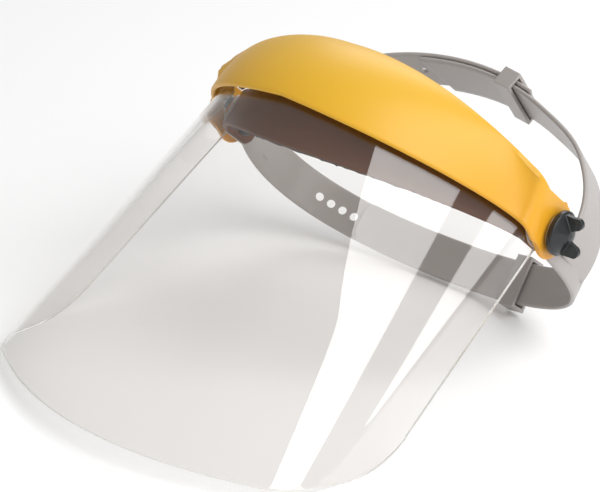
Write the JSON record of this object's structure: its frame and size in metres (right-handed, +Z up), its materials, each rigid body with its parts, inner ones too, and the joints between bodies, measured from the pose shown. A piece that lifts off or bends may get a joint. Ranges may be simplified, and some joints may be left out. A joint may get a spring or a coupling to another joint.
{
  "type": "face shield",
  "caption": "Flip-up face shield: moulded yellow brow guard and clear bent visor on a grey strap headgear with wing-knob pivots.",
  "frame": {"origin": "on the surface it lies on, at the middle of the plan box", "axes": "+X to the wearer's left, -Y ahead of the visor, +Z up from the table it lies on; the headgear is tipped back about X"},
  "size_m": [0.2004, 0.252, 0.1305],
  "materials": {
    "guard_yellow": "fine moulded grain, semi-translucent",
    "visor_clear": "clear polycarbonate sheet, polished",
    "band_brown": "satin moulded strap",
    "strap_grey": "satin moulded strap",
    "sweatband_foam": "quilted towelling over foam",
    "fitting_black": "satin moulded",
    "washer_nylon": "natural",
    "washer_steel": "plain",
    "insert_brass": "turned brass"
  },
  "bodies": {
    "headgear": {"brow_band": "band_brown", "harness_left": "strap_grey", "harness_right": "strap_grey", "sweatband": "sweatband_foam", "pivot_bolt_left": "fitting_black", "friction_washer_left": "washer_nylon", "spring_washer_left": "washer_steel", "pivot_bolt_right": "fitting_black", "friction_washer_right": "washer_nylon", "spring_washer_right": "washer_steel"},
    "visor_set": {"brow_guard": "guard_yellow", "visor": "visor_clear", "visor_clip_1": "fitting_black", "visor_clip_2": "fitting_black", "visor_clip_3": "fitting_black", "visor_clip_4": "fitting_black", "ear_bush_left": "washer_nylon", "ear_bush_right": "washer_nylon"},
    "left_knob": {"wing_knob_left": "fitting_black", "knob_insert_left": "insert_brass"},
    "right_knob": {"wing_knob_right": "fitting_black", "knob_insert_right": "insert_brass"},
    "nape_keeper": {"nape_keeper": "strap_grey"},
    "crown_keeper": {"crown_keeper": "strap_grey"}
  },
  "joints": [
    {"name": "visor_flip", "type": "hinge", "parent": "headgear", "child": "visor_set", "pos_m": [0, 0.04593, 0.069], "axis": [-1, 0, 0], "range_deg": [-18, 58]},
    {"name": "left_knob_turn", "type": "hinge", "parent": "headgear", "child": "left_knob", "pos_m": [0.099, 0.04593, 0.069], "axis": [1, 0, 0], "range_deg": [0, 270]},
    {"name": "right_knob_turn", "type": "hinge", "parent": "headgear", "child": "right_knob", "pos_m": [-0.099, 0.04593, 0.069], "axis": [-1, 0, 0], "range_deg": [0, 270]},
    {"name": "nape_keeper_slide", "type": "slide", "parent": "headgear", "child": "nape_keeper", "axis": [-0.9668, 0.1772, -0.1839], "range_m": [-0.004, 0.005]},
    {"name": "crown_keeper_slide", "type": "slide", "parent": "headgear", "child": "crown_keeper", "axis": [-0.9821, 0.1307, 0.1358], "range_m": [-0.004, 0.005]}
  ]
}
